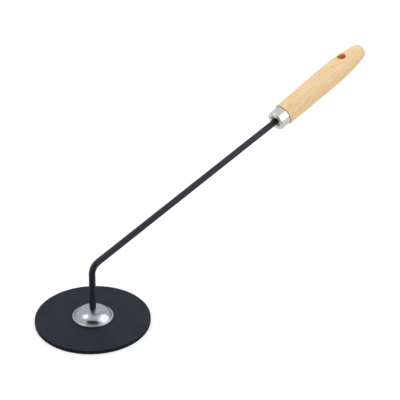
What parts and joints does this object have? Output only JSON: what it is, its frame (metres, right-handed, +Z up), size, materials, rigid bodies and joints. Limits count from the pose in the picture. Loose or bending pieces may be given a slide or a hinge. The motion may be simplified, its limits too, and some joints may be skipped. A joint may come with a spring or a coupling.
{
  "type": "round plate hand tool",
  "caption": "Flat round plate under a domed hub cap, on a rod bent once that rises at a slant to a ferruled, turned wooden handle with a cross-drilled hanging hole.",
  "frame": {"origin": "centre of the round plate's underside, where the tool rests", "axes": "+Z up along the rod's upright stretch, +X the way the slanted rod and the handle lean, +Y across the handle"},
  "size_m": [0.5106, 0.14, 0.2668],
  "materials": {
    "plate_black": "satin black coating, slightly blue, on steel plate",
    "rod_black": "semi-gloss black enamel on round steel bar",
    "cap_steel": "pressed stainless steel, softly polished",
    "fastener_zinc": "bright zinc plate",
    "ferrule_metal": "bright spun metal, fine turning marks",
    "handle_wood": "turned pale beech under thin clear varnish"
  },
  "bodies": {
    "root": {"plate": "plate_black", "rod": "rod_black", "dome_cap": "cap_steel", "lock_nut": "fastener_zinc", "spring_washer": "fastener_zinc", "plain_washer": "fastener_zinc", "ferrule": "ferrule_metal", "handle": "handle_wood"}
  },
  "joints": []
}
